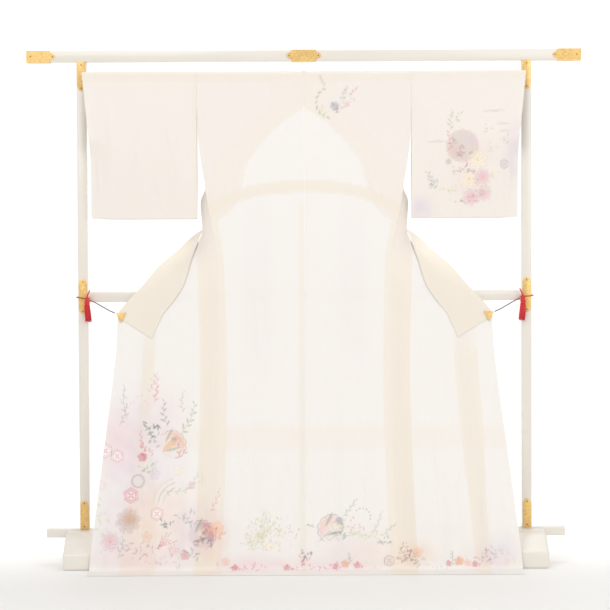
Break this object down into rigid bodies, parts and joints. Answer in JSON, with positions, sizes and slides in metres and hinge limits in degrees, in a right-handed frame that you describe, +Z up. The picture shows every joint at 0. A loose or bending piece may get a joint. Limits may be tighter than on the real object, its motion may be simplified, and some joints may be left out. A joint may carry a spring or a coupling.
{
  "type": "houmongi kimono on a display rack",
  "caption": "Sheer formal kimono hung by its sleeves from a rod on a lacquered rack, fronts drawn out to the posts by corded clips, hem trailing on the floor.",
  "frame": {"origin": "on the floor, under the middle of the whole object's box", "axes": "+X along the rack to the garment's own left sleeve, +Z up, -Y the side that shows the kimono's back"},
  "size_m": [1.761, 0.395, 1.6355],
  "materials": {
    "gauze": "sheer woven silk gauze",
    "lacquer": "off-white satin lacquer",
    "gilt": "gilt, chased",
    "silk_cord": "twisted silk"
  },
  "bodies": {
    "root": {"collar": "gauze", "back_seam_allowance": "gauze", "body_left": "gauze", "body_right": "gauze", "okumi_left": "gauze", "okumi_right": "gauze", "sleeve_left": "gauze", "sleeve_right": "gauze", "back_tuck_left": "gauze", "back_tuck_right": "gauze", "side_allowance_left": "gauze", "side_allowance_right": "gauze", "okumi_allowance_left": "gauze", "okumi_allowance_right": "gauze", "top_beam": "lacquer", "middle_rail": "lacquer", "lower_rail": "lacquer", "hanging_rod": "lacquer", "post_left": "lacquer", "post_right": "lacquer", "foot_left": "lacquer", "foot_right": "lacquer", "rod_bracket_left": "lacquer", "rod_bracket_right": "lacquer", "beam_fitting_centre": "gilt", "beam_cap_left": "gilt", "beam_cap_right": "gilt", "post_fitting_top_left": "gilt", "post_fitting_top_right": "gilt", "post_fitting_middle_left": "gilt", "post_fitting_middle_right": "gilt", "post_fitting_bottom_left": "gilt", "post_fitting_bottom_right": "gilt", "clip_left": "gilt", "clip_right": "gilt", "cord_left": "silk_cord", "cord_right": "silk_cord", "post_loop_left": "silk_cord", "post_loop_right": "silk_cord", "tassel_left": "silk_cord", "tassel_right": "silk_cord"}
  },
  "joints": []
}
